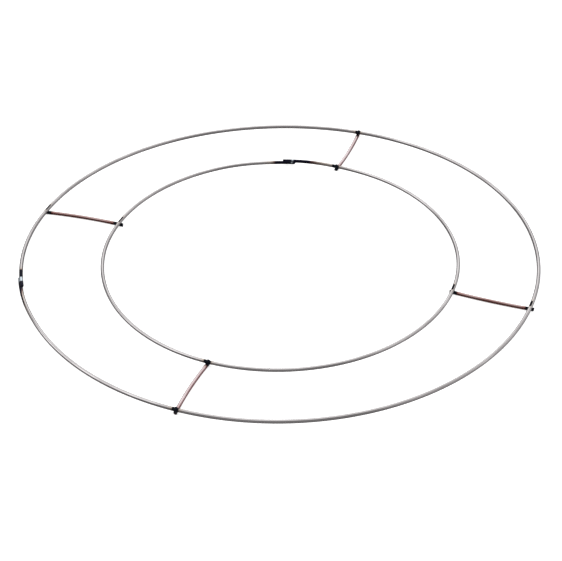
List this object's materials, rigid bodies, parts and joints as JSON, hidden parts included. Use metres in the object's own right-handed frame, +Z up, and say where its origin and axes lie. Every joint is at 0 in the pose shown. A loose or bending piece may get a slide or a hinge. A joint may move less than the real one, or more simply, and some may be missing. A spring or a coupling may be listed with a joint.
{
  "type": "wreath frame",
  "caption": "Flat wire wreath frame: an inner and an outer steel ring tied together by welded radial cross wires.",
  "frame": {"origin": "common centre of the two rings, on the plane the frame rests on", "axes": "+Z up out of the resting plane, +X out along spoke_1, +Y out along spoke_2"},
  "size_m": [0.3069, 0.306, 0.0043],
  "materials": {
    "ring_wire": "bright drawn, heat-tinted beside the lap weld",
    "spoke_wire": "thin copper drawing coat over steel",
    "weld_metal": "black weld scale"
  },
  "bodies": {
    "root": {"inner_ring": "ring_wire", "inner_ring_lap_weld": "weld_metal", "inner_weld_1": "weld_metal", "inner_weld_2": "weld_metal", "inner_weld_3": "weld_metal", "inner_weld_4": "weld_metal", "outer_ring": "ring_wire", "outer_ring_lap_weld": "weld_metal", "outer_weld_1": "weld_metal", "outer_weld_2": "weld_metal", "outer_weld_3": "weld_metal", "outer_weld_4": "weld_metal", "spoke_1": "spoke_wire", "spoke_2": "spoke_wire", "spoke_3": "spoke_wire", "spoke_4": "spoke_wire"}
  },
  "joints": []
}
